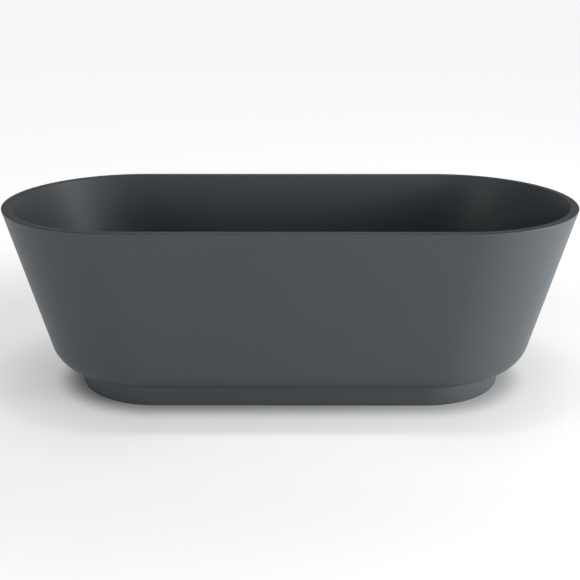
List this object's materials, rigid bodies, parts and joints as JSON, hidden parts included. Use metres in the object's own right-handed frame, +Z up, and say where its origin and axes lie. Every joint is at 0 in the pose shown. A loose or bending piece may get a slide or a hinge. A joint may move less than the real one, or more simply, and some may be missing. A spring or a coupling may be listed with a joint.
{
  "type": "freestanding bathtub",
  "caption": "Freestanding cast bath with leaning walls, thin flat rim, recessed plinth, screw feet and a push-to-close waste.",
  "frame": {"origin": "floor level at the middle of the bath's length and width", "axes": "+X along the length, +Z up, -Y the side that faces the viewer"},
  "size_m": [1.7, 0.75, 0.554],
  "materials": {
    "cast_stone": "matte",
    "plywood": "matte",
    "zinc_steel": "satin",
    "black_nylon": "matte",
    "waste_black": "satin",
    "plug_black": "satin",
    "seal_rubber": "matte",
    "brass": "satin",
    "spring_steel": "satin",
    "pipe_white": "satin"
  },
  "bodies": {
    "bath": {"outer_shell": "cast_stone", "inner_basin": "cast_stone", "plinth_ring": "cast_stone", "base_board": "plywood", "foot_sockets": "zinc_steel", "socket_screws": "zinc_steel", "lock_nuts": "zinc_steel", "waste_body": "waste_black", "upper_gasket": "seal_rubber", "lower_gasket": "seal_rubber", "waste_nut": "black_nylon", "click_cartridge": "brass", "click_spring": "spring_steel", "tail_pipe": "pipe_white", "union_washer": "seal_rubber", "union_nut": "pipe_white"},
    "plug": {"plug_cap": "plug_black", "plug_seal": "seal_rubber", "plug_stem": "zinc_steel"},
    "pad_front_left": {"foot_pad_front_left": "black_nylon"},
    "stud_front_left": {"foot_stud_front_left": "zinc_steel"},
    "pad_front_right": {"foot_pad_front_right": "black_nylon"},
    "stud_front_right": {"foot_stud_front_right": "zinc_steel"},
    "pad_back_left": {"foot_pad_back_left": "black_nylon"},
    "stud_back_left": {"foot_stud_back_left": "zinc_steel"},
    "pad_back_right": {"foot_pad_back_right": "black_nylon"},
    "stud_back_right": {"foot_stud_back_right": "zinc_steel"}
  },
  "joints": [
    {"name": "plug_lift", "type": "slide", "parent": "bath", "child": "plug", "axis": [0, 0, 1], "range_m": [0, 0.01], "deforming": ["click_spring"]},
    {"name": "foot_drop_front_left", "type": "slide", "parent": "bath", "child": "pad_front_left", "axis": [0, 0, -1], "range_m": [0, 0.012]},
    {"name": "foot_turn_front_left", "type": "hinge", "parent": "pad_front_left", "child": "stud_front_left", "pos_m": [-0.3, -0.15, 0], "axis": [0, 0, -1], "range_deg": [0, 2480]},
    {"name": "foot_drop_front_right", "type": "slide", "parent": "bath", "child": "pad_front_right", "axis": [0, 0, -1], "range_m": [0, 0.012]},
    {"name": "foot_turn_front_right", "type": "hinge", "parent": "pad_front_right", "child": "stud_front_right", "pos_m": [0.3, -0.15, 0], "axis": [0, 0, -1], "range_deg": [0, 2480]},
    {"name": "foot_drop_back_left", "type": "slide", "parent": "bath", "child": "pad_back_left", "axis": [0, 0, -1], "range_m": [0, 0.012]},
    {"name": "foot_turn_back_left", "type": "hinge", "parent": "pad_back_left", "child": "stud_back_left", "pos_m": [-0.3, 0.15, 0], "axis": [0, 0, -1], "range_deg": [0, 2480]},
    {"name": "foot_drop_back_right", "type": "slide", "parent": "bath", "child": "pad_back_right", "axis": [0, 0, -1], "range_m": [0, 0.012]},
    {"name": "foot_turn_back_right", "type": "hinge", "parent": "pad_back_right", "child": "stud_back_right", "pos_m": [0.3, 0.15, 0], "axis": [0, 0, -1], "range_deg": [0, 2480]}
  ],
  "couplings": [
    {"joint": "foot_turn_front_left", "follows": "foot_drop_front_left", "rad_per_m": 3590.4},
    {"joint": "foot_turn_front_right", "follows": "foot_drop_front_right", "rad_per_m": 3590.4},
    {"joint": "foot_turn_back_left", "follows": "foot_drop_back_left", "rad_per_m": 3590.4},
    {"joint": "foot_turn_back_right", "follows": "foot_drop_back_right", "rad_per_m": 3590.4}
  ]
}
